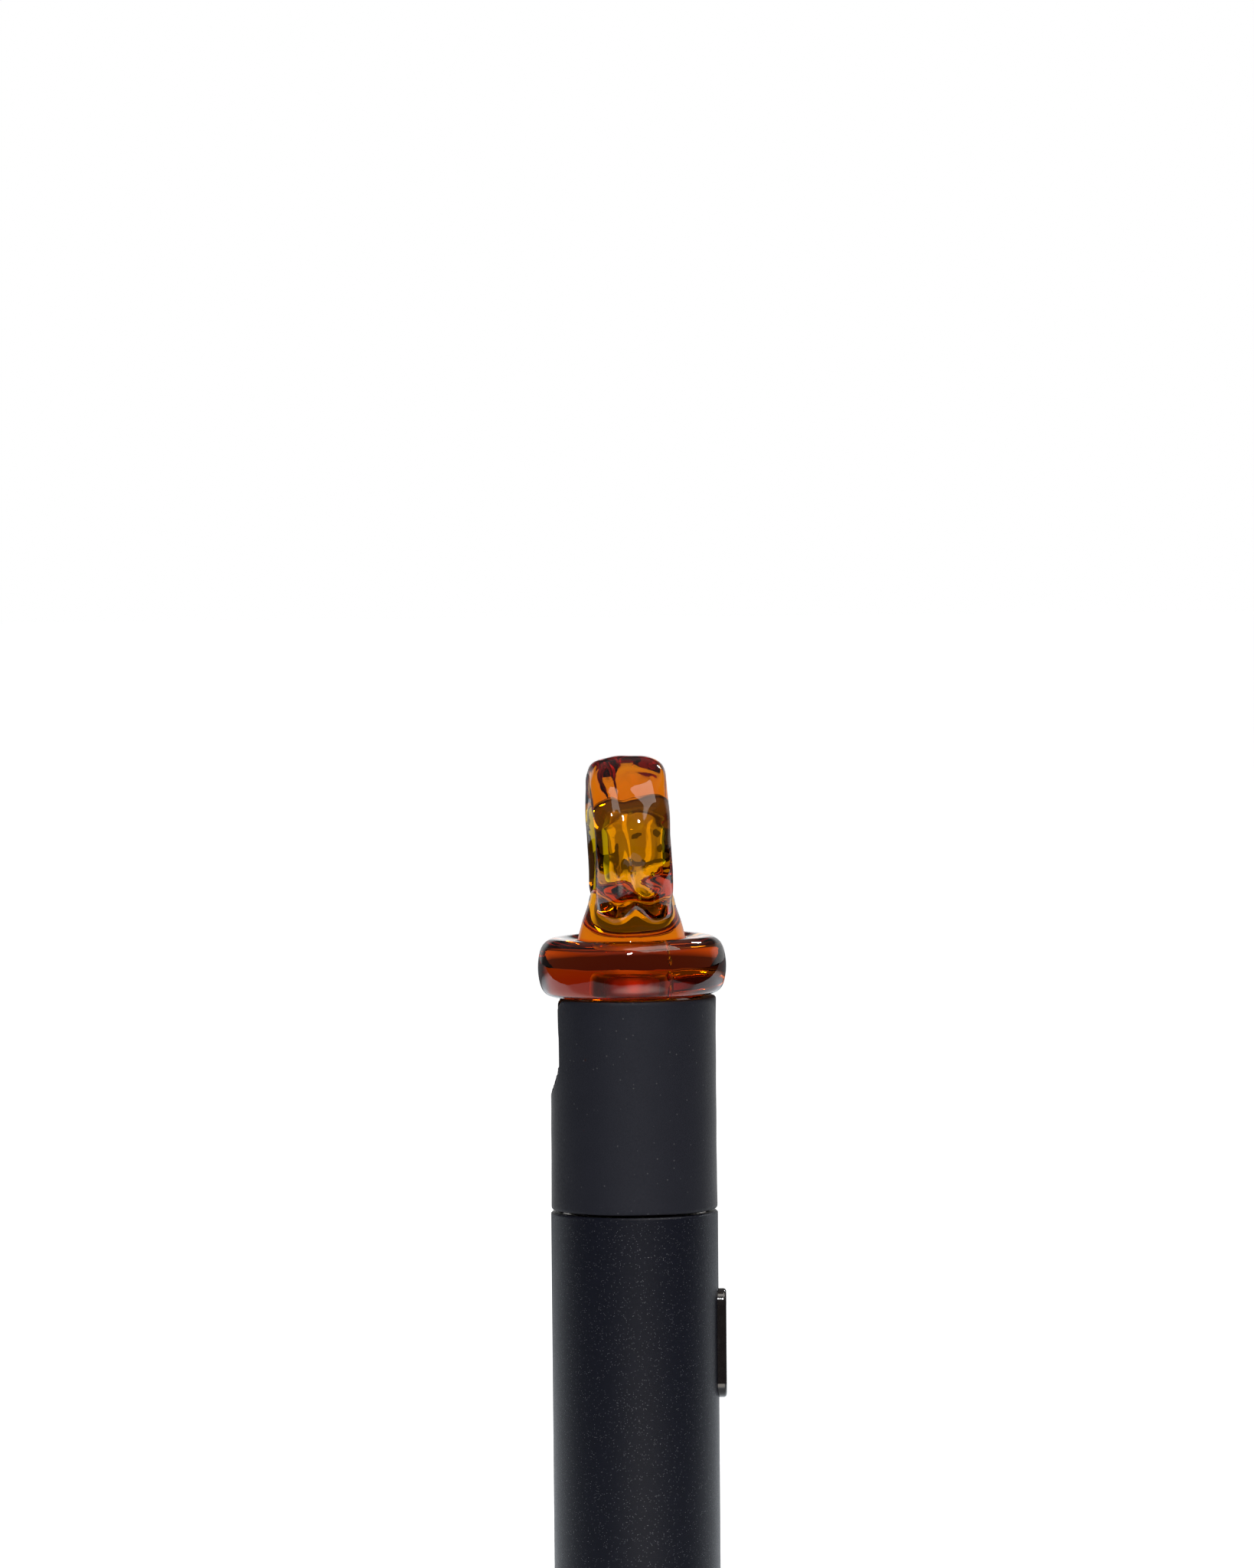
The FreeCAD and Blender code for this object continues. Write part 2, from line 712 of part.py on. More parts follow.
def disc():
    """The cap's round body: flat beneath, a barrelled side between round corners, a crest and a dish."""
    widest = DISC_BOTTOM + DISC_WIDEST
    low_z = DISC_BOTTOM + DISC_LOW_CORNER
    high_z = DISC_TOP - DISC_TOP_CORNER
    low_reach = DISC_BARREL - DISC_LOW_CORNER
    high_reach = DISC_BARREL - DISC_TOP_CORNER
    low_turn = math.asin((widest - low_z) / low_reach)
    high_turn = math.asin((high_z - widest) / high_reach)
    barrel_r = DISC_R - DISC_BARREL
    low_r = barrel_r + low_reach * math.cos(low_turn)
    high_r = barrel_r + high_reach * math.cos(high_turn)
    low_degrees = math.degrees(low_turn)
    high_degrees = math.degrees(high_turn)
    outline = [
        (0, DISC_BOTTOM),
        (low_r, DISC_BOTTOM),
        corner_arc((low_r, low_z), DISC_LOW_CORNER, -90, -low_degrees),
        corner_arc((barrel_r, widest), DISC_BARREL, -low_degrees, high_degrees),
        corner_arc((high_r, high_z), DISC_TOP_CORNER, high_degrees, 100),
        (DISC_DISH_R, DISC_TOP - DISC_DISH),
        (0, DISC_TOP - DISC_DISH),
    ]
    return lathe(outline)


def loop():
    """The finger loop: an oval ring, its hole along X, yawed and leaning as it was pulled by hand."""
    middle = DISC_TOP - LOOP_SINK + LOOP_TALL / 2
    faces = []
    for tall, deep in ((LOOP_TALL, LOOP_DEEP), (LOOP_HOLE_TALL, LOOP_HOLE_DEEP)):
        oval = Part.Ellipse(Vector(0, 0, tall / 2), Vector(deep / 2, 0, 0), Vector(0, 0, 0)).toShape()
        faces.append(Part.Face(Part.Wire([oval])))
    band = faces[0].cut(faces[1]).extrude(Vector(0, LOOP_WIDE, 0))
    band.translate(Vector(0, -LOOP_WIDE / 2, 0))
    band = band.makeFillet(LOOP_ROUND, [e for e in band.Edges if isinstance(e.Curve, Part.Ellipse)])
    band.rotate(Vector(0, 0, 0), Vector(0, 0, 1), 90 + LOOP_YAW)
    band.translate(Vector(LOOP_SHIFT, 0, middle))
    band.rotate(Vector(0, 0, DISC_TOP), Vector(0, 1, 0), -LOOP_LEAN)
    return band


def root():
    """The flared foot that joins the loop to the disc, with a round shoulder that ends inside the loop."""
    low = DISC_TOP - DISC_DISH - 0.2
    high = low + ROOT_H
    outline = [
        (0, low),
        (ROOT_R, low),
        (ROOT_TOP_R, high, ROOT_TOP_R + 0.6 * (ROOT_R - ROOT_TOP_R), low + 0.45 * ROOT_H),
        corner_arc((ROOT_TOP_R - ROOT_ROUND, high), ROOT_ROUND, 0, 90),
        (0, high + ROOT_ROUND),
    ]
    return lathe(outline)


def glass_cap():
    """Disc, loop and stem in one piece, with an air path in at the side, down the stem and out at its tip."""
    tip = DISC_BOTTOM - STEM_LENGTH
    bore_end = DISC_BOTTOM + BORE_TOP
    stem = cylinder(STEM_R, tip, DISC_BOTTOM + 1)
    stem = rounded(stem, STEM_CORNER, circle_at(tip, STEM_R))
    bore = cylinder(STEM_BORE_R, tip + STEM_FLOOR, bore_end)
    bore = rounded(bore, BORE_CORNER, circle_at(bore_end, STEM_BORE_R))
    jet = cylinder(JET_R, -4, 4)
    jet.rotate(Vector(0, 0, 0), Vector(0, 1, 0), JET_ANGLE)
    jet.translate(Vector(-JET_OFF, 0, tip + STEM_FLOOR / 2))
    inlet = Part.makeCylinder(INLET_R, DISC_R + 1, Vector(0, 0, DISC_BOTTOM + INLET_Z), Vector(0, 1, 0))
    inlet.rotate(Vector(0, 0, 0), Vector(0, 0, 1), -INLET_TURN)
    return disc().fuse([stem, root(), loop()]).cut([bore, jet, inlet])


NODES = [
    body_tube, base_cap, base_gasket, base_screws, usb_socket, usb_tongue, charge_board, charge_chip, chassis,
    battery_cell, cell_insulator, cell_terminal, positive_tab, negative_tab, charge_flex,
    main_board, board_chips, status_led, switch_case, switch_plunger, button_cap, button_seal,
    button_frame, connector_socket, socket_insulator, contact_pin, pin_spring, heater_wires,
    stud_seal, chamber_base, sleeve_o_rings, contact_insulator, centre_contact, heater_base,
    heater_cup, heater_leads, ceramic_bowl, chamber_shell, chamber_gasket, chamber_ring,
    mouthpiece_sleeve, cap_gasket, glass_cap,
]

os.makedirs("parts", exist_ok=True)
for make in NODES:
    shape = make()
    solids = [solid if solid.Volume > 0 else solid.reversed() for solid in shape.Solids]
    kept = solids[0] if len(solids) == 1 else Part.makeCompound(solids)
    kept.exportStep("parts/" + make.__name__ + ".step")
    print(f"{make.__name__:20s} solids {len(solids)} volume {kept.Volume:9.2f} valid {kept.isValid()}")
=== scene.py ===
import math

import bmesh
import bpy
from mathutils import Matrix, Vector, noise


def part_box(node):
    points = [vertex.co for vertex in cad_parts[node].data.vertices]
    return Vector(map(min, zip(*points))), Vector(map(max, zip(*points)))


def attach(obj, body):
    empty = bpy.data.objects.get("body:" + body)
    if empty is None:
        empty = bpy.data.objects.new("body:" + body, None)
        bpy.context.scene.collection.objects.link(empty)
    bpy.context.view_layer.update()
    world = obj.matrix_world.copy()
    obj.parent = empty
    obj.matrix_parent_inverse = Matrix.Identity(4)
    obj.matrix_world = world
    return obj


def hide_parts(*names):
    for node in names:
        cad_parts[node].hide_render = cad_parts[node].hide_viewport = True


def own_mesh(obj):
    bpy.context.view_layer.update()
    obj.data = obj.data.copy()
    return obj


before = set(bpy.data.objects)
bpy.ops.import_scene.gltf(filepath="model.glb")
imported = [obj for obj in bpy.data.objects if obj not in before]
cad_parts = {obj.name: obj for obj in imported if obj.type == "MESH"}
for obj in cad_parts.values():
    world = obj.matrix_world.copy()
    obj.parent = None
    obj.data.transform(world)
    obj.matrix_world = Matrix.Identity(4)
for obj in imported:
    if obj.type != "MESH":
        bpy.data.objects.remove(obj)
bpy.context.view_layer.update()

# A handheld vaporiser: a bead-blasted battery body with a glossy side button, a soft sleeve with a
# U-shaped cut-out, a heating chamber inside the sleeve, and a loose cap of hand-worked amber glass.
# Lengths are in metres. MM turns millimetres into metres.
MM = 0.001

SLEEVE_LOW, SLEEVE_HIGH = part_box("mouthpiece_sleeve")
GLASS_LOW, GLASS_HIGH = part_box("glass_cap")
SLEEVE_RADIUS = SLEEVE_HIGH.x
DISC_RADIUS = GLASS_HIGH.x
DISC_BOTTOM = SLEEVE_HIGH.z + 0.05 * MM
STEM_TIP = GLASS_LOW.z
WELD = 1e-7
HAND_FADE = 3 * MM


# ---- mesh helpers ----
def arc(centre, radius, start, end, steps):
    """Points on a circular arc in an outline's plane, angles in degrees."""
    angles = [math.radians(start + (end - start) * k / steps) for k in range(steps + 1)]
    return [(centre[0] + radius * math.cos(a), centre[1] + radius * math.sin(a)) for a in angles]


def circle(count):
    """Evenly spaced angles round a full turn, in radians."""
    return [2 * math.pi * k / count for k in range(count)]


def lathe(outline, segments=96):
    """A closed bmesh turned about Z from (radius, z) points that start and end on the axis."""
    bm = bmesh.new()
    rings = []
    for radius, z in outline:
        turns = circle(segments)
        rings.append([bm.verts.new((radius * math.cos(a), radius * math.sin(a), z)) for a in turns])
    join_rings(bm, rings, closed=False)
    bmesh.ops.remove_doubles(bm, verts=bm.verts, dist=WELD)
    bmesh.ops.recalc_face_normals(bm, faces=bm.faces)
    return bm


def join_rings(bm, rings, closed):
    """Faces between each ring of points and the next, and back to the first if closed."""
    count = len(rings) if closed else len(rings) - 1
    for i in range(count):
        here, there = rings[i], rings[(i + 1) % len(rings)]
        for k in range(len(here)):
            after = (k + 1) % len(here)
            bm.faces.new((here[k], here[after], there[after], there[k]))


def skin(bm, rings):
    """Faces over a row of rings and across both its ends, all facing outwards."""
    join_rings(bm, rings, closed=False)
    bm.faces.new(rings[0])
    bm.faces.new(rings[-1])
    bmesh.ops.recalc_face_normals(bm, faces=bm.faces)


def add_to(target, source, matrix=Matrix.Identity(4)):
    """Copies one bmesh into another, moved by matrix."""
    made = bpy.data.meshes.new("part")
    source.to_mesh(made)
    source.free()
    made.transform(matrix)
    target.from_mesh(made)
    bpy.data.meshes.remove(made)


def piece_from(bm, name):
    """A linked object with smooth faces, made from a bmesh."""
    made = bpy.data.meshes.new(name)
    bm.to_mesh(made)
    bm.free()
    made.polygons.foreach_set("use_smooth", [True] * len(made.polygons))
    piece = bpy.data.objects.new(name, made)
    bpy.context.scene.collection.objects.link(piece)
    return piece


def apply_modifiers(piece):
    """Replaces a piece's mesh with the result of its modifiers."""
    depsgraph = bpy.context.evaluated_depsgraph_get()
    done = bpy.data.meshes.new_from_object(piece.evaluated_get(depsgraph))
    old = piece.data
    piece.modifiers.clear()
    piece.data = done
    done.name = piece.name
    bpy.data.meshes.remove(old)
    done.polygons.foreach_set("use_smooth", [True] * len(done.polygons))


def fuse(piece, voxel, smoothing):
    """One even skin round overlapping closed shells, with its corners melted together."""
    remesh = piece.modifiers.new("remesh", "REMESH")
    remesh.mode = "VOXEL"
    remesh.voxel_size = voxel
    remesh.use_smooth_shade = True
    smooth = piece.modifiers.new("smooth", "SMOOTH")
    smooth.factor = 0.5
    smooth.iterations = smoothing
    apply_modifiers(piece)


def melt(piece, low, high, fade, smoothing):
    """Smooths a piece further between two heights, as where two gathers of hot glass join."""
    zone = piece.vertex_groups.new(name="zone")
    for vert in piece.data.vertices:
        inside = min(vert.co.z - low, high - vert.co.z) / fade
        zone.add([vert.index], min(max(inside, 0), 1), "REPLACE")
    smooth = piece.modifiers.new("melt", "SMOOTH")
    smooth.factor = 0.5
    smooth.iterations = smoothing
    smooth.vertex_group = zone.name
    apply_modifiers(piece)
    piece.vertex_groups.clear()


def cut(piece, cutter_bm):
    """Takes one closed shape out of a piece."""
    cutter = piece_from(cutter_bm, "cutter")
    boolean = piece.modifiers.new("cut", "BOOLEAN")
    boolean.operation = "DIFFERENCE"
    boolean.solver = "EXACT"
    boolean.object = cutter
    apply_modifiers(piece)
    old = cutter.data
    bpy.data.objects.remove(cutter)
    bpy.data.meshes.remove(old)


def shape_by_hand(piece, height, size, above=-1.0):
    """Moves each point a little along its normal by smooth noise, as hand work does, above some height."""
    normals = [entry.vector.copy() for entry in piece.data.vertex_normals]
    for vert, normal in zip(piece.data.vertices, normals):
        share = min(max((vert.co.z - above) / HAND_FADE, 0), 1)
        vert.co += normal * height * share * noise.noise(vert.co / size)


# ---- glass cap ----
# Heights on the cap are measured up from the disc's flat underside until the cap is put in place.
DISC_TALL = 8.1 * MM
DISC_WIDEST = 3.9 * MM
DISC_BARREL = 9.0 * MM
DISC_LOW_ROUND = 1.9 * MM
DISC_HIGH_ROUND = 2.4 * MM
DISC_INSET = 0.1 * MM
DISH = 0.7 * MM
DISH_RADIUS = 7.6 * MM
ROOT_WIDE = 7.4 * MM
ROOT_NARROW = 5.3 * MM
ROOT_DEEP = 7.3 * MM
ROOT_SUNK = 0.8 * MM
ROOT_START = 0.4 * MM
ROOT_TALL = 6.6 * MM
ROOT_FLARE = 1.25
ROOT_STEPS = 8
LOOP_YAW = 4.6
LOOP_LEAN = 1.8
LOOP_SHIFT = 0.35 * MM
LOOP_HALF_WIDE = 5.3 * MM
LOOP_OUTER = (11.2 * MM, 12.7 * MM)
LOOP_INNER = (4.3 * MM, 5.5 * MM)
LOOP_SINK = 0.6 * MM
LOOP_SQUARENESS = 1.95
LOOP_TOP_SQUARENESS = 1.4
LOOP_STEPS = 96
SECTION_STEPS = 40
CREASE_DEEP = 0.8 * MM
CREASE_WIDE = 1.0 * MM
CREASE_OFF = -0.9 * MM
CREASE_DRIFT = 1.3 * MM
CREASE_FOOT_WIDER = 0.5
CREASE_FOOT_DEEPER = 1.5
CREASE_TOP_FAINTER = 0.8
RIPPLE = 0.14 * MM
RIPPLES = 20
STEM_RADIUS = 4.8 * MM
STEM_CORNER = 1.0 * MM
STEM_SUNK = 1 * MM
STEM_FLOOR = 1.6 * MM
BORE_RADIUS = 3.95 * MM
BORE_TOP = 3.3 * MM
BORE_DOME = 0.5 * MM
INLET_TURN = 50
INLET_RADIUS = 0.9 * MM
INLET_LONG = 16 * MM
INLET_HEIGHT = 2.4 * MM
JET_TURN = 30
JET_RADIUS = 1.0 * MM
JET_HALF_LONG = 4 * MM
JET_OFF = 1.2 * MM
JET_RISE = 0.8 * MM
CAP_TILT = 0.7
CAP_TILT_AT = -11.2 * MM
GLASS_VOXEL = 0.2 * MM
GATHER_SMOOTHING = 28
BORE_SMOOTHING = 5
MELT_TALL = 6.5 * MM
MELT_FADE = 2.0 * MM
MELT_SMOOTHING = 120
SKIN_WAVE = (0.10 * MM, 7 * MM)
LOOP_WAVE = (0.28 * MM, 3.4 * MM)
LOOP_WAVE_FROM = DISC_TALL + 2 * MM


def disc_outline():
    """Half the disc's section: flat beneath, a barrelled side between round corners, a crest and a dish."""
    low, high, barrel = DISC_LOW_ROUND, DISC_HIGH_ROUND, DISC_BARREL
    low_turn = math.asin((DISC_WIDEST - low) / (barrel - low))
    high_turn = math.asin((DISC_TALL - high - DISC_WIDEST) / (barrel - high))
    middle = DISC_RADIUS - DISC_INSET - barrel
    low_middle = middle + (barrel - low) * math.cos(low_turn)
    crest = middle + (barrel - high) * math.cos(high_turn)
    low_end, high_end = -math.degrees(low_turn), math.degrees(high_turn)
    points = [(0, 0)]
    points += arc((low_middle, low), low, -90, low_end, 8)
    points += arc((middle, DISC_WIDEST), barrel, low_end, high_end, 8)[1:]
    points += arc((crest, DISC_TALL - high), high, high_end, 100, 12)[1:]
    points += [(DISH_RADIUS, DISC_TALL - DISH), (0, DISC_TALL - DISH)]
    return points


def root():
    """The foot under the loop: it flares towards both sides and has upright walls in front and behind."""
    foot, top = DISC_TALL - ROOT_START, DISC_TALL + ROOT_TALL
    shares = [k / ROOT_STEPS for k in range(ROOT_STEPS + 1)]
    stations = [(DISC_TALL - DISH - ROOT_SUNK, 0.0)] + [(foot + (top - foot) * t, t) for t in shares]
    bm = bmesh.new()
    rings = []
    for z, t in stations:
        half = ROOT_WIDE + (ROOT_NARROW - ROOT_WIDE) * t ** ROOT_FLARE
        turns = circle(LOOP_STEPS)
        rings.append([bm.verts.new((half * math.cos(a), ROOT_DEEP * math.sin(a), z)) for a in turns])
    skin(bm, rings)
    return bm


def stem_outline():
    """Half the section of the stem, with a rounded tip."""
    tip = STEM_TIP - DISC_BOTTOM
    points = [(0, tip)]
    points += arc((STEM_RADIUS - STEM_CORNER, tip + STEM_CORNER), STEM_CORNER, -90, 0, 6)
    points += [(STEM_RADIUS, STEM_SUNK), (0, STEM_SUNK)]
    return points


def hand_marks(across, out, turn):
    """A crease down the loop's outer face, faint on top and deep at the foot, and ripples in the hole."""
    if out > 0:
        rise = math.sin(turn)
        foot = max(-rise, 0)
        wide = CREASE_WIDE * (1 + CREASE_FOOT_WIDER * foot)
        off = (across - CREASE_OFF + CREASE_DRIFT * rise) / wide
        depth = 1 + CREASE_FOOT_DEEPER * foot - CREASE_TOP_FAINTER * max(rise, 0) ** 3
        return CREASE_DEEP * math.exp(-off * off) * depth
    return RIPPLE * math.sin(RIPPLES * turn) * max(across, 0) / LOOP_HALF_WIDE


def loop_ring():
    """An upright oval ring round X whose section is a rounded rectangle."""
    bm = bmesh.new()
    middle = [(LOOP_OUTER[i] + LOOP_INNER[i]) / 2 for i in (0, 1)]
    thick = [(LOOP_OUTER[i] - LOOP_INNER[i]) / 2 for i in (0, 1)]
    rings = []
    for turn in circle(LOOP_STEPS):
        along_y, along_z = math.cos(turn), math.sin(turn)
        outward = Vector((0, along_y / middle[0], along_z / middle[1])).normalized()
        half_thick = thick[0] * along_y ** 2 + thick[1] * along_z ** 2
        power = 2 / (LOOP_SQUARENESS + LOOP_TOP_SQUARENESS * max(along_z, 0) ** 2)
        centre = Vector((0, middle[0] * along_y, middle[1] * along_z))
        ring = []
        for a in circle(SECTION_STEPS):
            across = math.copysign(abs(math.cos(a)) ** power, math.cos(a)) * LOOP_HALF_WIDE
            out = math.copysign(abs(math.sin(a)) ** power, math.sin(a)) * half_thick
            out -= hand_marks(across, out, turn)
            ring.append(bm.verts.new(centre + Vector((across, 0, 0)) + outward * out))
        rings.append(ring)
    join_rings(bm, rings, closed=True)
    bmesh.ops.recalc_face_normals(bm, faces=bm.faces)
    return bm


def turned(axis, degrees, pivot=(0, 0, 0)):
    """A rotation about an axis through a point."""
    shift = Matrix.Translation(Vector(pivot))
    return shift @ Matrix.Rotation(math.radians(degrees), 4, axis) @ shift.inverted()


def bore_outline():
    """Half the section of the air bore, domed at its top."""
    low = STEM_TIP - DISC_BOTTOM + STEM_FLOOR
    points = [(0, low), (BORE_RADIUS, low)]
    points += arc((BORE_RADIUS - BORE_DOME, BORE_TOP - BORE_DOME), BORE_DOME, 0, 90, 8)
    points.append((0, BORE_TOP))
    return points


def rod(radius, low, high):
    """A closed plain rod along Z."""
    return lathe([(0, low), (radius, low), (radius, high), (0, high)], segments=32)


# Each bubble's centre and radius in millimetres: five in the loop's face, three down its right side
# and four in the disc.
SEEDS = [
    ((0.3, -6.6, 19.4), 0.22),
    ((1.0, -6.9, 17.6), 0.20),
    ((-2.4, -6.6, 13.6), 0.20),
    ((1.3, -7.2, 14.0), 0.28),
    ((2.7, -6.2, 17.2), 0.24),
    ((4.2, -4.6, 19.8), 0.30),
    ((4.4, -5.0, 16.6), 0.34),
    ((4.4, -4.8, 13.4), 0.34),
    ((4.5, -7.4, 6.0), 0.26),
    ((4.6, -7.4, 4.9), 0.36),
    ((4.5, -7.5, 3.2), 0.40),
    ((4.6, -7.4, 1.6), 0.34),
]
SEED_STRETCH = Matrix.Diagonal((0.8, 0.8, 1.5, 1))


def add_seeds(piece):
    """Small long air bubbles shut in the glass, each a closed shell that faces inwards."""
    bm = bmesh.new()
    bm.from_mesh(piece.data)
    for place, radius in SEEDS:
        seed = bmesh.new()
        bmesh.ops.create_icosphere(seed, subdivisions=3, radius=radius * MM)
        bmesh.ops.reverse_faces(seed, faces=seed.faces)
        add_to(bm, seed, Matrix.Translation(Vector(place) * MM) @ SEED_STRETCH)
    bm.to_mesh(piece.data)
    bm.free()
    piece.data.polygons.foreach_set("use_smooth", [True] * len(piece.data.polygons))


def make_glass():
    """The cap in one piece: disc, foot, loop and stem, its air path cut out and its bubbles shut in."""
    bm = bmesh.new()
    loop_place = (
        turned("Y", -LOOP_LEAN, (0, 0, DISC_TALL))
        @ Matrix.Translation((LOOP_SHIFT, 0, DISC_TALL - LOOP_SINK + LOOP_OUTER[1]))
        @ turned("Z", LOOP_YAW)
    )
    add_to(bm, lathe(disc_outline()))
    add_to(bm, root())
    add_to(bm, lathe(stem_outline()))
    add_to(bm, loop_ring(), loop_place)
    cap = piece_from(bm, "amber_glass_cap")
    fuse(cap, GLASS_VOXEL, GATHER_SMOOTHING)
    melt(cap, DISC_TALL, DISC_TALL + MELT_TALL, MELT_FADE, MELT_SMOOTHING)
    cut(cap, lathe(bore_outline()))
    inlet = bmesh.new()
    inlet_way = turned("Z", -INLET_TURN) @ turned("X", -90)
    add_to(inlet, rod(INLET_RADIUS, 0, INLET_LONG), Matrix.Translation((0, 0, INLET_HEIGHT)) @ inlet_way)
    cut(cap, inlet)
    jet = bmesh.new()
    jet_place = Matrix.Translation((-JET_OFF, 0, STEM_TIP - DISC_BOTTOM + JET_RISE))
    add_to(jet, rod(JET_RADIUS, -JET_HALF_LONG, JET_HALF_LONG), jet_place @ turned("Y", JET_TURN))
    cut(cap, jet)
    fuse(cap, GLASS_VOXEL, BORE_SMOOTHING)
    shape_by_hand(cap, *SKIN_WAVE)
    shape_by_hand(cap, *LOOP_WAVE, LOOP_WAVE_FROM)
    add_seeds(cap)
    cap.data.transform(turned("Y", -CAP_TILT, (CAP_TILT_AT, 0, 0)))
    cap.data.transform(Matrix.Translation((0, 0, DISC_BOTTOM)))
    return cap


# ---- mouthpiece sleeve ----
SLEEVE_WALL = 1.85 * MM
SLEEVE_EDGE = 0.28 * MM
SLEEVE_LIP = 0.3 * MM
SLEEVE_INNER_EDGE = 0.2 * MM
SLEEVE_WAIST = 0.07 * MM
SLEEVE_STATIONS = 24
SLEEVE_SEGMENTS = 128
CUT_HALF = 4.95 * MM
CUT_TOP_HALF = 4.6 * MM
CUT_DEEP = 13.2 * MM
CUT_FLARE = 1.3 * MM
CUT_OVER = 2 * MM
CUT_REACH = 20 * MM
SLEEVE_VOXEL = 0.2 * MM
SLEEVE_SMOOTHING = 3
SLEEVE_WAVE = (0.05 * MM, 5 * MM)


def sleeve_shell():
    """The tube of the sleeve before its cut-out: one closed ring section turned about Z."""
    outer, inner = SLEEVE_RADIUS, SLEEVE_RADIUS - SLEEVE_WALL
    low, high = SLEEVE_LOW.z, SLEEVE_HIGH.z
    edge, lip, inner_edge = SLEEVE_EDGE, SLEEVE_LIP, SLEEVE_INNER_EDGE
    section = arc((outer - edge, low + edge), edge, -90, 0, 5)
    for k in range(1, SLEEVE_STATIONS):
        t = k / SLEEVE_STATIONS
        waist = SLEEVE_WAIST * math.sin(math.pi * t)
        section.append((outer - waist, low + edge + (high - lip - low - edge) * t))
    section += arc((outer - lip, high - lip), lip, 0, 90, 5)
    section += arc((inner + lip, high - lip), lip, 90, 180, 5)
    section += arc((inner + inner_edge, low + inner_edge), inner_edge, 180, 270, 3)
    bm = bmesh.new()
    rings = []
    for a in circle(SLEEVE_SEGMENTS):
        rings.append([bm.verts.new((r * math.cos(a), r * math.sin(a), z)) for r, z in section])
    join_rings(bm, rings, closed=True)
    bmesh.ops.recalc_face_normals(bm, faces=bm.faces)
    return bm


def cutout_prism():
    """The U of the cut-out, which narrows upwards to a bevelled mouth, as a prism on the -X side."""
    top = SLEEVE_HIGH.z
    deep = top - CUT_DEEP + CUT_HALF
    mouth = CUT_TOP_HALF + CUT_FLARE
    outline = [(mouth + CUT_OVER, top + CUT_OVER), (mouth, top), (CUT_TOP_HALF, top - CUT_FLARE)]
    outline += arc((0, deep), CUT_HALF, 0, -90, 12)
    outline += [(-y, z) for y, z in reversed(outline[:-1])]
    bm = bmesh.new()
    near = [bm.verts.new((0, y, z)) for y, z in outline]
    far = [bm.verts.new((-CUT_REACH, y, z)) for y, z in outline]
    join_rings(bm, [near, far], closed=False)
    bm.faces.new(near)
    bm.faces.new(list(reversed(far)))
    bmesh.ops.recalc_face_normals(bm, faces=bm.faces)
    return bm


def make_sleeve():
    """The soft sleeve with its cut-out, its edges rounded and its skin a little uneven."""
    sleeve = piece_from(sleeve_shell(), "soft_sleeve")
    cut(sleeve, cutout_prism())
    fuse(sleeve, SLEEVE_VOXEL, SLEEVE_SMOOTHING)
    shape_by_hand(sleeve, *SLEEVE_WAVE)
    return sleeve


# ---- contact spring ----
SPRING_TURNS = 5
SPRING_WIRE = 0.16 * MM
SPRING_STEPS = 32
WIRE_SIDES = 10


def make_spring():
    """The coil under the connector's pin."""
    low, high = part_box("pin_spring")
    start, end = low.z + SPRING_WIRE, high.z - SPRING_WIRE
    steps = SPRING_STEPS * SPRING_TURNS
    bm = bmesh.new()
    rings = []
    for step in range(steps + 1):
        along = 2 * math.pi * step / SPRING_STEPS
        out = Vector((math.cos(along), math.sin(along), 0))
        centre = out * (high.x - SPRING_WIRE) + Vector((0, 0, start + (end - start) * step / steps))
        ring = []
        for around in circle(WIRE_SIDES):
            across = out * math.cos(around) + Vector((0, 0, math.sin(around)))
            ring.append(bm.verts.new(centre + across * SPRING_WIRE))
        rings.append(ring)
    skin(bm, rings)
    return piece_from(bm, "contact_spring")


# ---- materials ----
def add(tree, kind, sockets=None, **settings):
    """Adds a node, sets its attributes, and sets or links its input sockets."""
    made = tree.nodes.new(kind)
    for name, value in settings.items():
        setattr(made, name, value)
    for name, value in (sockets or {}).items():
        if isinstance(value, bpy.types.NodeSocket):
            tree.links.new(value, made.inputs[name])
        else:
            made.inputs[name].default_value = value
    return made


def surface(name):
    """A new material, its node tree, its Principled shader and its object coordinates in millimetres."""
    material = bpy.data.materials.new(name)
    material.use_nodes = True
    tree = material.node_tree
    shader = tree.nodes["Principled BSDF"]
    place = add(tree, "ShaderNodeTexCoord").outputs["Object"]
    scaled = add(tree, "ShaderNodeVectorMath", {0: place, 1: (1000, 1000, 1000)}, operation="MULTIPLY")
    return material, tree, shader, scaled.outputs[0]


def grain(tree, place, scale, detail=3.0, rough=0.5):
    """Noise from 0 to 1, with scale cycles per millimetre."""
    sockets = {"Vector": place, "Scale": scale, "Detail": detail, "Roughness": rough}
    return add(tree, "ShaderNodeTexNoise", sockets).outputs["Fac"]


def spread(tree, value, from_low, from_high, to_low, to_high):
    """Maps a value's range to another, held at the ends. The last four may be sockets."""
    source = {"Value": value, "From Min": from_low, "From Max": from_high}
    target = {"To Min": to_low, "To Max": to_high}
    return add(tree, "ShaderNodeMapRange", source | target).outputs["Result"]


def reckoned(tree, operation, *values):
    """The result of a maths node."""
    return add(tree, "ShaderNodeMath", dict(enumerate(values)), operation=operation).outputs[0]


def blended(tree, factor, first, second):
    """A colour that goes from first to second as factor goes from 0 to 1."""
    made = tree.nodes.new("ShaderNodeMix")
    made.data_type = "RGBA"
    for socket, value in ((0, factor), (6, first), (7, second)):
        if isinstance(value, bpy.types.NodeSocket):
            tree.links.new(value, made.inputs[socket])
        else:
            made.inputs[socket].default_value = value
    return made.outputs[2]


def dulled(tree, shader, value, low, high):
    """Lets the roughness go from low to high as value goes through its middle range."""
    tree.links.new(spread(tree, value, 0.3, 0.7, low, high), shader.inputs["Roughness"])


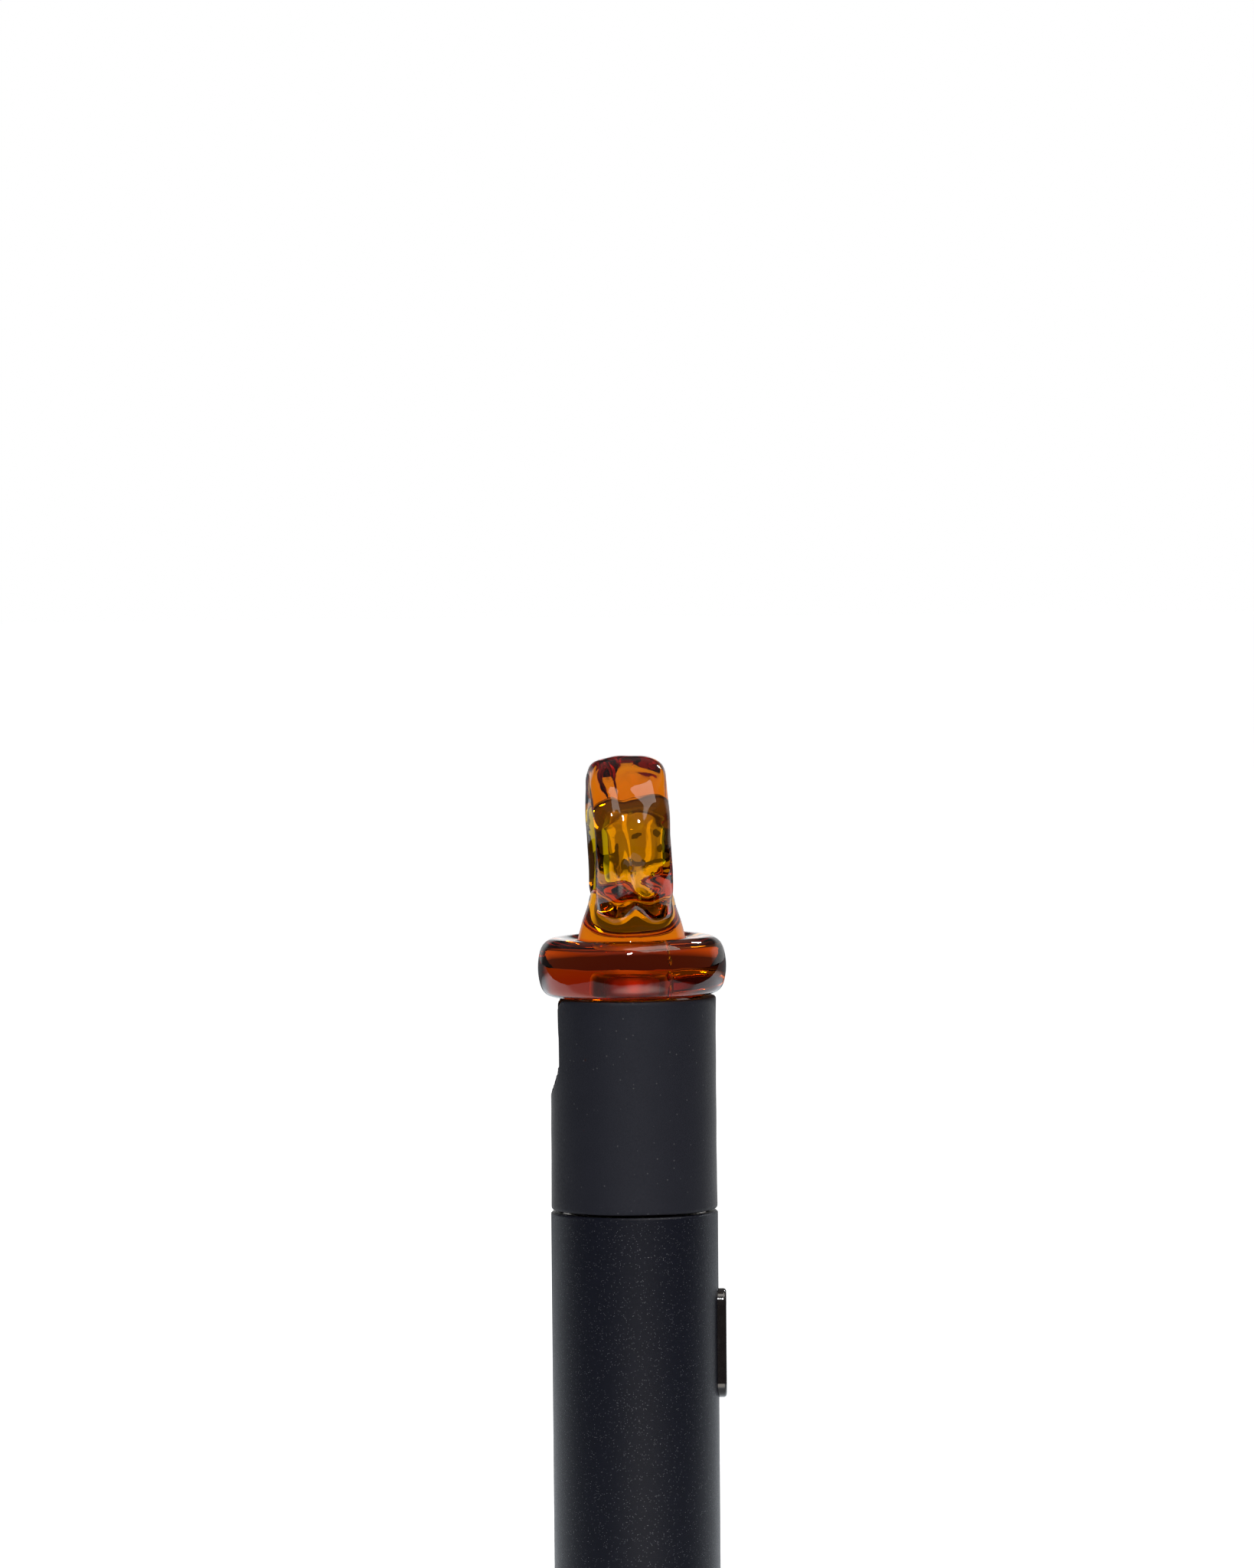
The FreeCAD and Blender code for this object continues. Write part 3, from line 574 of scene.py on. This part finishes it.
def bumped(tree, shader, height, strength, distance):
    """Feeds a height to the shader's normal."""
    made = add(tree, "ShaderNodeBump", {"Height": height, "Strength": strength, "Distance": distance})
    tree.links.new(made.outputs["Normal"], shader.inputs["Normal"])


def specks(tree, place, cells, share):
    """1 in small round spots, one in some of the cells of a Voronoi grid, and 0 elsewhere."""
    cell = add(tree, "ShaderNodeTexVoronoi", {"Vector": place, "Scale": cells})
    chosen = add(tree, "ShaderNodeSeparateColor", {0: cell.outputs["Color"]}).outputs[0]
    picked = reckoned(tree, "LESS_THAN", chosen, share)
    near = spread(tree, cell.outputs["Distance"], 0.10, 0.30, 1.0, 0.0)
    return reckoned(tree, "MULTIPLY", picked, near)


# The glass soaks up red, green and blue by these shares per metre. Painted shade tints the lower disc a
# deeper red and painted light leaves the loop and upper disc paler; the change of tint runs between two
# depths below the disc's top, in millimetres.
GLASS_SOAKS = Vector((30.0, 112.0, 1200.0))
GLASS_IOR = 1.48
DISC_SHADE_TINT = (0.85, 0.28, 0.55, 1)
LOOP_LIGHT_TINT = (1.0, 1.0, 0.70, 1)
SHADE_TINT_DEPTHS = (5.2, 2.6)
BORE_REACH = (4.1, 4.4)
BORE_ABOVE = (0.2, 0.5)
BORE_ROUGHNESS = 0.28
POLISH_ROUGHNESS = 0.02


def amber_glass():
    """Solid amber glass, fire-polished outside and left frosted in its bore."""
    material, tree, shader, place = surface("amber_glass")
    shader.inputs["Transmission Weight"].default_value = 1.0
    shader.inputs["IOR"].default_value = GLASS_IOR
    parts = add(tree, "ShaderNodeSeparateXYZ", {0: place})
    height = parts.outputs["Z"]
    disc_top = (DISC_BOTTOM + DISC_TALL) / MM
    # Painted light and shade in the base colour: a darker red low in the disc, paler in the loop and the
    # upper disc.
    light_tint_share = spread(tree, height, disc_top - SHADE_TINT_DEPTHS[0], disc_top - SHADE_TINT_DEPTHS[1], 0.0, 1.0)
    tree.links.new(blended(tree, light_tint_share, DISC_SHADE_TINT, LOOP_LIGHT_TINT), shader.inputs["Base Color"])
    level = {0: parts.outputs["X"], 1: parts.outputs["Y"], 2: 0.0}
    from_axis = add(tree, "ShaderNodeCombineXYZ", level).outputs[0]
    radius = add(tree, "ShaderNodeVectorMath", {0: from_axis}, operation="LENGTH").outputs["Value"]
    bore_top = (DISC_BOTTOM + BORE_TOP) / MM
    within = spread(tree, radius, *BORE_REACH, 1.0, 0.0)
    below = spread(tree, height, bore_top + BORE_ABOVE[0], bore_top + BORE_ABOVE[1], 1.0, 0.0)
    in_bore = reckoned(tree, "MULTIPLY", within, below)
    polish = spread(tree, grain(tree, place, 0.15), 0.35, 0.75, 0.0, POLISH_ROUGHNESS)
    tree.links.new(spread(tree, in_bore, 0.0, 1.0, polish, BORE_ROUGHNESS), shader.inputs["Roughness"])
    density = max(GLASS_SOAKS)
    kept = [1 - share / density for share in GLASS_SOAKS]
    soak = add(tree, "ShaderNodeVolumeAbsorption", {"Color": (*kept, 1), "Density": density})
    tree.links.new(soak.outputs[0], tree.nodes["Material Output"].inputs["Volume"])
    return material


def bead_blasted():
    """Black anodising over a blasted skin, whose facets glint here and there."""
    material, tree, shader, place = surface("bead_blasted_black")
    sparkle = specks(tree, place, 8.0, 0.12)
    # The body's own colour is black; the blue cast in these tones is painted cool ambient light.
    tone = blended(tree, grain(tree, place, 0.9), (0.0020, 0.0025, 0.0060, 1), (0.0040, 0.0045, 0.0100, 1))
    colour = blended(tree, sparkle, tone, (0.45, 0.46, 0.50, 1))
    tree.links.new(colour, shader.inputs["Base Color"])
    tree.links.new(sparkle, shader.inputs["Metallic"])
    dulled(tree, shader, grain(tree, place, 6.0), 0.28, 0.42)
    shader.inputs["Specular IOR Level"].default_value = 0.27
    shader.inputs["Specular Tint"].default_value = (0.92, 0.95, 1.0, 1)
    bumped(tree, shader, grain(tree, place, 7.0, 2.0, 0.6), 0.5, 0.00008)
    return material


def soft_touch():
    """Matt rubbery paint with a little dust on it."""
    material, tree, shader, place = surface("soft_touch_black")
    dust = specks(tree, place, 2.2, 0.05)
    cloud = grain(tree, place, 0.35, 5.0)
    # The sleeve's own colour is black; the blue cast in these tones is painted cool ambient light.
    tone = blended(tree, cloud, (0.0055, 0.0060, 0.0110, 1), (0.0085, 0.0090, 0.0150, 1))
    colour = blended(tree, dust, tone, (0.05, 0.05, 0.055, 1))
    tree.links.new(colour, shader.inputs["Base Color"])
    dulled(tree, shader, grain(tree, place, 2.5), 0.58, 0.72)
    shader.inputs["Specular IOR Level"].default_value = 0.27
    shader.inputs["Specular Tint"].default_value = (0.93, 0.95, 1.0, 1)
    shader.inputs["Sheen Weight"].default_value = 0.12
    shader.inputs["Sheen Roughness"].default_value = 0.35
    bumped(tree, shader, grain(tree, place, 4.0, 4.0, 0.6), 0.25, 0.00008)
    return material


def gloss_black():
    """Glossy black plastic with faint smears."""
    material, tree, shader, place = surface("gloss_black")
    tone = blended(tree, grain(tree, place, 0.5), (0.006, 0.005, 0.005, 1), (0.012, 0.009, 0.009, 1))
    tree.links.new(tone, shader.inputs["Base Color"])
    smears = spread(tree, grain(tree, place, 0.8, 5.0), 0.35, 0.75, 0.07, 0.20)
    tree.links.new(smears, shader.inputs["Roughness"])
    shader.inputs["Coat Weight"].default_value = 0.4
    bumped(tree, shader, grain(tree, place, 0.4), 0.08, 0.0002)
    return material


def moulded(name, dark, light, rough, scale=1.5):
    """A moulded or fired solid with two close tones and a fine skin."""
    material, tree, shader, place = surface(name)
    tone = blended(tree, grain(tree, place, scale, 4.0), (*dark, 1), (*light, 1))
    tree.links.new(tone, shader.inputs["Base Color"])
    dulled(tree, shader, grain(tree, place, 3.0), rough - 0.08, rough + 0.08)
    bumped(tree, shader, grain(tree, place, 5.0), 0.2, 0.00005)
    return material


def turned_metal(name, dark, light, rough, lines=9.0):
    """Metal with fine rings across Z, as a lathe leaves them."""
    material, tree, shader, place = surface(name)
    stretched = add(tree, "ShaderNodeVectorMath", {0: place, 1: (0.05, 0.05, 1.0)}, operation="MULTIPLY")
    rings = grain(tree, stretched.outputs[0], lines, 4.0, 0.7)
    tree.links.new(blended(tree, rings, (*dark, 1), (*light, 1)), shader.inputs["Base Color"])
    shader.inputs["Metallic"].default_value = 1.0
    dulled(tree, shader, rings, rough - 0.07, rough + 0.10)
    bumped(tree, shader, rings, 0.25, 0.00004)
    return material


def circuit_board():
    """Green solder mask with tracks under it."""
    material, tree, shader, place = surface("circuit_board")
    layout = {"Vector": place, "Scale": 0.9, "Mortar Size": 0.03, "Bias": 0.0}
    tracks = add(tree, "ShaderNodeTexBrick", layout)
    green = blended(tree, grain(tree, place, 1.0), (0.004, 0.045, 0.018, 1), (0.006, 0.065, 0.026, 1))
    colour = blended(tree, tracks.outputs["Fac"], green, (0.012, 0.14, 0.05, 1))
    tree.links.new(colour, shader.inputs["Base Color"])
    dulled(tree, shader, grain(tree, place, 2.0), 0.25, 0.4)
    bumped(tree, shader, tracks.outputs["Fac"], 0.3, 0.00003)
    return material


def flat_cable():
    """Amber film over a row of copper lines."""
    material, tree, shader, place = surface("flat_cable")
    layout = {"Vector": place, "Scale": 1.1, "Distortion": 0.0}
    lines = add(tree, "ShaderNodeTexWave", layout, bands_direction="Y")
    colour = blended(tree, lines.outputs["Fac"], (0.30, 0.12, 0.02, 1), (0.62, 0.30, 0.08, 1))
    tree.links.new(colour, shader.inputs["Base Color"])
    dulled(tree, shader, grain(tree, place, 2.0), 0.25, 0.4)
    return material


def dress_nodes():
    """Gives each CAD node its finish."""
    steel = turned_metal("turned_steel", (0.42, 0.42, 0.44), (0.66, 0.66, 0.68), 0.28)
    # Painted shade: the chamber base's steel is made near black so the seam between sleeve and body reads
    # dark.
    seam_shade_steel = turned_metal("seam_shaded_dark_steel", (0.030, 0.030, 0.032), (0.055, 0.055, 0.058), 0.45)
    nickel = turned_metal("nickel_plate", (0.55, 0.53, 0.49), (0.74, 0.72, 0.68), 0.20)
    gold = turned_metal("gold_plate", (0.72, 0.50, 0.20), (0.95, 0.74, 0.36), 0.18)
    black_silicone = moulded("black_silicone", (0.010, 0.010, 0.010), (0.022, 0.022, 0.022), 0.55)
    grey_silicone = moulded("grey_silicone", (0.10, 0.10, 0.105), (0.15, 0.15, 0.155), 0.50)
    nylon = moulded("black_nylon", (0.018, 0.018, 0.019), (0.035, 0.035, 0.036), 0.48)
    peek = moulded("tan_polymer", (0.36, 0.27, 0.15), (0.45, 0.35, 0.21), 0.42)
    chip = moulded("chip_epoxy", (0.012, 0.012, 0.013), (0.022, 0.022, 0.023), 0.50)
    ceramic = moulded("white_ceramic", (0.74, 0.73, 0.69), (0.82, 0.81, 0.78), 0.30)
    alumina = moulded("heater_ceramic", (0.50, 0.48, 0.44), (0.60, 0.58, 0.54), 0.50)
    wrap = moulded("cell_wrap", (0.02, 0.14, 0.22), (0.03, 0.18, 0.27), 0.30, 0.4)
    paper = moulded("fibre_paper", (0.66, 0.63, 0.55), (0.78, 0.76, 0.69), 0.80, 4.0)
    red_wire = moulded("red_silicone_wire", (0.30, 0.012, 0.008), (0.40, 0.02, 0.012), 0.45)
    lamp = moulded("led_epoxy", (0.75, 0.70, 0.45), (0.86, 0.82, 0.62), 0.20)
    board, cable, blasted, gloss = circuit_board(), flat_cable(), bead_blasted(), gloss_black()
    finishes = {
        blasted: ["body_tube", "base_cap"],
        gloss: ["button_cap"],
        seam_shade_steel: ["chamber_base"],
        steel: ["base_screws", "chamber_shell", "chamber_ring"],
        nickel: [
            "usb_socket", "cell_terminal", "positive_tab",
            "negative_tab", "connector_socket", "heater_leads",
        ],
        gold: ["contact_pin", "centre_contact"],
        black_silicone: ["base_gasket", "stud_seal", "sleeve_o_rings"],
        grey_silicone: ["button_seal", "chamber_gasket", "cap_gasket"],
        nylon: ["chassis", "button_frame"],
        peek: ["socket_insulator", "contact_insulator", "heater_base"],
        chip: ["usb_tongue", "charge_chip", "board_chips", "switch_case", "switch_plunger"],
        ceramic: ["ceramic_bowl"],
        alumina: ["heater_cup"],
        wrap: ["battery_cell"],
        paper: ["cell_insulator"],
        red_wire: ["heater_wires"],
        lamp: ["status_led"],
        board: ["charge_board", "main_board"],
        cable: ["charge_flex"],
    }
    for material, names in finishes.items():
        for name in names:
            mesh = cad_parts[name].data
            mesh.materials.clear()
            mesh.materials.append(material)


# ---- studio ----
# Shares of the way to the backdrop's middle, sideways and upwards, between which each part fades.
BACKDROP_WAY = (0.25, 0.968, 0.0)
BACKDROP_EDGE = (0.64, 0.80)
BACKDROP_TOP = (0.22, 0.34)
STRIP_EDGE = (0.08, 0.13)
CEILING_EDGE = (0.5, 0.6)
STRIP_LIGHT = 1.15
BACKDROP_LIGHT = 0.5
CEILING_LIGHT = 0.16
ROOM_LIGHT = 0.05


def studio_world():
    """A low backdrop behind, brightest in a strip, under a dim ceiling. The camera sees plain white."""
    world = bpy.data.worlds.new("studio")
    bpy.context.scene.world = world
    world.use_nodes = True
    tree = world.node_tree
    tree.nodes.clear()
    way = add(tree, "ShaderNodeTexCoord").outputs["Generated"]
    parts = add(tree, "ShaderNodeSeparateXYZ", {0: way})
    height = parts.outputs["Z"]
    aside = reckoned(tree, "ABSOLUTE", parts.outputs["X"])
    behind = add(tree, "ShaderNodeVectorMath", {0: way, 1: BACKDROP_WAY}, operation="DOT_PRODUCT")
    strip = spread(tree, aside, *STRIP_EDGE, STRIP_LIGHT, BACKDROP_LIGHT)
    across = spread(tree, behind.outputs["Value"], *BACKDROP_EDGE, 0.0, strip)
    panel = reckoned(tree, "MULTIPLY", across, spread(tree, height, *BACKDROP_TOP, 1.0, 0.0))
    ceiling = spread(tree, height, *CEILING_EDGE, ROOM_LIGHT, CEILING_LIGHT)
    backdrop = reckoned(tree, "MAXIMUM", panel, ceiling)
    room = add(tree, "ShaderNodeBackground", {"Color": (1, 1, 1, 1), "Strength": backdrop})
    plain = add(tree, "ShaderNodeBackground", {"Color": (1, 1, 1, 1), "Strength": 1.0})
    sight = add(tree, "ShaderNodeLightPath").outputs["Is Camera Ray"]
    both = add(tree, "ShaderNodeMixShader", {0: sight, 1: room.outputs[0], 2: plain.outputs[0]})
    out = add(tree, "ShaderNodeOutputWorld")
    tree.links.new(both.outputs[0], out.inputs[0])


FLOOR_HALF = 4.0
TABLE_FRONT = 0.27
TABLE_HALF_WIDE = 0.32
TABLE_OPENS = 3.6
TABLE_FADE = (0.01, 0.02)
POOL_AT = (0.03, -0.17, 0)
POOL_EDGE = (0.05, 0.11)
POOL_LIGHT = 3.0
FRONT_LIGHT = 0.6
BEHIND_LIGHT = 1.3
FAR_LIGHT = 0.15
FAR_FADE = (0.40, 0.80)
WARM_WHITE = (1.0, 0.93, 0.84, 1)
COOL_WHITE = (0.90, 0.95, 1.0, 1)
SEEN_GLOW = 0.90


def studio_floor():
    """A white table that ends a little in front. Past its edges the floor only looks white."""
    bm = bmesh.new()
    bmesh.ops.create_grid(bm, x_segments=1, y_segments=1, size=FLOOR_HALF)
    floor = piece_from(bm, "floor")
    material = bpy.data.materials.new("floor_white")
    material.use_nodes = True
    tree = material.node_tree
    tree.nodes.clear()
    place = add(tree, "ShaderNodeTexCoord").outputs["Object"]
    parts = add(tree, "ShaderNodeSeparateXYZ", {0: place})
    depth = parts.outputs["Y"]
    front = spread(tree, depth, -TABLE_FRONT - TABLE_FADE[0], -TABLE_FRONT, 0.0, 1.0)
    aside = reckoned(tree, "ABSOLUTE", parts.outputs["X"])
    half = spread(tree, depth, 0.0, FLOOR_HALF, TABLE_HALF_WIDE, TABLE_HALF_WIDE + TABLE_OPENS)
    side = spread(tree, reckoned(tree, "SUBTRACT", half, aside), 0.0, TABLE_FADE[1], 0.0, 1.0)
    table = reckoned(tree, "MULTIPLY", front, side)
    off = add(tree, "ShaderNodeVectorMath", {0: place, 1: POOL_AT}, operation="DISTANCE").outputs["Value"]
    behind = spread(tree, depth, *FAR_FADE, BEHIND_LIGHT, FAR_LIGHT)
    plain = spread(tree, depth, -0.02, 0.02, FRONT_LIGHT, behind)
    pool = spread(tree, off, *POOL_EDGE, POOL_LIGHT, plain)
    shade = blended(tree, spread(tree, off, *POOL_EDGE, 1.0, 0.0), COOL_WHITE, WARM_WHITE)
    pooled = add(tree, "ShaderNodeEmission", {"Color": shade, "Strength": pool})
    glow = add(tree, "ShaderNodeEmission", {"Color": (1, 1, 1, 1), "Strength": SEEN_GLOW})
    paint = add(tree, "ShaderNodeBsdfDiffuse", {"Color": (0.75, 0.75, 0.75, 1)})
    lit = add(tree, "ShaderNodeAddShader", {0: glow.outputs[0], 1: paint.outputs[0]})
    dark = add(tree, "ShaderNodeBsdfDiffuse", {"Color": (0.02, 0.02, 0.02, 1)})
    ground = add(tree, "ShaderNodeMixShader", {0: table, 1: dark.outputs[0], 2: pooled.outputs[0]})
    sight = add(tree, "ShaderNodeLightPath").outputs["Is Camera Ray"]
    seen = add(tree, "ShaderNodeMixShader", {0: sight, 1: ground.outputs[0], 2: lit.outputs[0]})
    out = add(tree, "ShaderNodeOutputMaterial")
    tree.links.new(seen.outputs[0], out.inputs[0])
    floor.data.materials.append(material)


def soft_box(name, azimuth, elevation, distance, size, power, colour=(1, 1, 1)):
    """An area light aimed at the seam. Azimuth 0 is in front of the object, 90 at its +X side."""
    light = bpy.data.lights.new(name, "AREA")
    light.shape = "RECTANGLE"
    light.size, light.size_y = size
    light.energy = power
    light.color = colour
    lamp = bpy.data.objects.new(name, light)
    bpy.context.scene.collection.objects.link(lamp)
    a, e = math.radians(azimuth), math.radians(elevation)
    way = Vector((math.sin(a) * math.cos(e), -math.cos(a) * math.cos(e), math.sin(e)))
    lamp.location = Vector((0, 0, SLEEVE_HIGH.z)) + way * distance
    lamp.rotation_euler = (-way).to_track_quat("-Z", "Y").to_euler()


def studio_lights():
    """A large warm light above to the right, a small one in front and a cool one behind."""
    soft_box("overhead_box", 48, 64, 0.9, (0.75, 0.6), 4.5, (1.0, 0.95, 0.88))
    soft_box("front_lamp", -3, 38, 1.0, (0.09, 0.09), 8.0)
    soft_box("rim_lamp", 144, 40, 0.9, (0.10, 0.12), 1.6, (0.92, 0.96, 1.0))


# ---- camera ----
# The frame's height at the object in metres, and the aim as shares of the picture's longer side.
CAMERA_ELEVATION = 5.5
CAMERA_DISTANCE = 1.5
CAMERA_ROLL = 0.5
FRAME_TALL = 0.21606
AIM_RIGHT = 0.0048
AIM_BELOW = 0.2713
AIM_DROP = 0.18 * MM
SENSOR = 36.0
SIGHT_END = 20


def make_camera():
    """Looks down a little at the seam, which lies low and a touch right of the picture's centre."""
    camera = bpy.data.cameras.new("camera")
    holder = bpy.data.objects.new("camera", camera)
    bpy.context.scene.collection.objects.link(holder)
    e = math.radians(CAMERA_ELEVATION)
    back = Vector((0, -math.cos(e), math.sin(e)))
    aim = Vector((0, 0, SLEEVE_LOW.z - AIM_DROP))
    camera.sensor_width = SENSOR
    camera.lens = SENSOR * CAMERA_DISTANCE / FRAME_TALL
    camera.shift_x = -AIM_RIGHT
    camera.shift_y = AIM_BELOW
    camera.clip_end = SIGHT_END
    roll = Matrix.Rotation(math.radians(-CAMERA_ROLL), 4, "Z")
    facing = (-back).to_track_quat("-Z", "Y").to_matrix().to_4x4()
    holder.matrix_world = Matrix.Translation(aim + back * CAMERA_DISTANCE) @ facing @ roll
    bpy.context.scene.camera = holder


# ---- assembly ----
def assemble():
    """Dresses the CAD nodes, and puts the cap, the sleeve and the spring in place of theirs."""
    dress_nodes()
    cap = make_glass()
    cap.data.materials.append(amber_glass())
    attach(cap, "cap")
    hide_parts("glass_cap")
    sleeve = make_sleeve()
    sleeve.data.materials.append(soft_touch())
    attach(sleeve, "sleeve")
    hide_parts("mouthpiece_sleeve")
    spring = make_spring()
    spring.data.materials.append(bpy.data.materials["turned_steel"])
    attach(spring, "battery_unit")
    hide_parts("pin_spring")
    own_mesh(spring)


make_camera()
assemble()
studio_world()
studio_floor()
studio_lights()
bpy.context.scene.view_settings.view_transform = "Standard"
